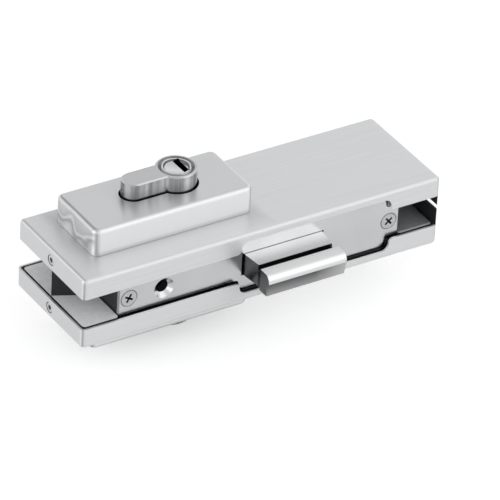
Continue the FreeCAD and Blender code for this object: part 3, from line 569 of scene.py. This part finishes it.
def satin_lustre(tree):
    """The shader inputs that every satin sheet shares."""
    return {"Metallic": 1.0, "Anisotropic": 0.8, "Anisotropic Rotation": across_the_lines,
            "Tangent": brushed_along(tree, "X", "Y")}


satin_stainless_cover, tree = new_material("satin_stainless_cover")
spot = place_of(tree)
sheet, brush = satin_sheet(tree, cover_low, cover_high, cover_corner_radius)
# Painted shade on the cover's top, darker near the housings.
past_end = past_span(tree, spot["X"], housing_low.x, housing_high.x)
past_end = add(tree, "Math", (past_end, shade_round_housings_reach / shade_round_housings_reach_at_ends), operation="MULTIPLY")
past_side = past_span(tree, spot["Y"], housing_low.y, housing_high.y)
past = add(tree, "Math", (past_end, past_side), operation="MAXIMUM")
shade_round_housings = add(tree, "MapRange", {"Value": past, "From Min": shade_round_housings_reach, "From Max": 0.0})
shade_round_housings = add(tree, "Math", (shade_round_housings, slant(tree, "Z")), operation="MULTIPLY")
waves = add(tree, "Bump", {"Height": grain(tree, even, wave_size, detail=1.0), "Distance": wave_depth})
sheet = add(tree, "Mix", (shade_round_housings, sheet, shade_round_housings_grey), data_type="RGBA")
dress(satin_stainless_cover, {
    **satin_lustre(tree), "Base Color": sheet, "Roughness": 0.47,
    "Normal": add(tree, "Bump", {"Height": brush, "Distance": satin_depth, "Normal": waves})},
    "top_cover", "bottom_cover")


# Cylinder housings
# The same sheet, drawn deep, which leaves the left end creased and dented, and welded to the cover at its
# foot. The creases are painted in bands of highlight and shade. The long sides are painted brighter than the
# top as painted light, and darker down by the weld as painted shade.
shaded_top_grey = "#dfe0e1"
lit_side_white = "#fcfdfd"
weld_grey = "#aeb0b1"
foot_shade_grey = "#cccecf"
crease_highlights_and_shade_by_height = ((0.0, "#f8f9f9"), (0.20, "#e4e6e7"), (0.33, "#c0c2c3"), (0.43, "#dcdedf"),
                     (0.52, "#ffffff"), (0.66, "#d8dadb"), (0.95, "#e8e9ea"))
housing_corner_radius = 3.0 * MM
flat_slant = 0.95
weld_half = 0.22 * MM
foot_shade_reach = 2.2 * MM
foot_shade_most = 0.9
dent_size = 8.0 * MM
dent_depth = 0.3 * MM
dent_reach = 1.0 * MM
dent_sway = 13.0 * MM
satin_stainless_housing, tree = new_material("satin_stainless_housing")
spot = place_of(tree)
sheet, brush = satin_sheet(tree, housing_low, housing_high, housing_corner_radius)
# Painted light and shade: the long sides painted brighter and the top darker.
for axis, tone in (("Z", shaded_top_grey), ("Y", lit_side_white)):
    flat = add(tree, "Math", (slant(tree, axis), flat_slant), operation="GREATER_THAN")
    sheet = add(tree, "Mix", (flat, sheet, tone), data_type="RGBA")
from_middle = add(tree, "Math", (spot["Z"],), operation="ABSOLUTE")
height = add(tree, "Math", (from_middle, housing_low.z), operation="SUBTRACT")
# Painted highlights and shade in wavy bands across the creased left end.
at_left = add(tree, "MapRange", {"Value": spot["X"], "From Min": housing_low.x + dent_reach,
                                 "From Max": housing_low.x})
dent = grain(tree, even, dent_size, detail=0.0)
level = add(tree, "Math", (height, dent_sway / 2), operation="SUBTRACT")
swayed = add(tree, "Math", (dent, dent_sway, level), operation="MULTIPLY_ADD")
swayed = add(tree, "Math", (swayed, housing_high.z - housing_low.z), operation="DIVIDE")
crease_highlights_and_shade = add(tree, "ValToRGB", (swayed,), stops=crease_highlights_and_shade_by_height)
sheet = add(tree, "Mix", (at_left, sheet, crease_highlights_and_shade), data_type="RGBA")
# Painted shade on the long sides, darker towards the foot.
foot_shade = add(tree, "MapRange", {"Value": height, "From Min": foot_shade_reach, "From Max": 0.0, "To Max": foot_shade_most})
foot_shade = add(tree, "Math", (foot_shade, slant(tree, "Y")), operation="MULTIPLY")
sheet = add(tree, "Mix", (foot_shade, sheet, foot_shade_grey), data_type="RGBA")
weld = add(tree, "Math", (height, 0.0, weld_half), operation="COMPARE")
sheet = add(tree, "Mix", (weld, sheet, weld_grey), data_type="RGBA")
waves = add(tree, "Bump", {"Height": grain(tree, even, wave_size, detail=1.0), "Distance": wave_depth})
dents = add(tree, "Math", (dent, at_left), operation="MULTIPLY")
dented = add(tree, "Bump", {"Height": dents, "Distance": dent_depth, "Normal": waves})
dress(satin_stainless_housing, {
    **satin_lustre(tree), "Base Color": sheet, "Roughness": 0.34,
    "Normal": add(tree, "Bump", {"Height": brush, "Distance": satin_depth, "Normal": dented})},
    "top_cylinder_housing", "bottom_cylinder_housing")


# Colour view
# Colours are shown as they are written.
bpy.context.scene.view_settings.view_transform = "Standard"
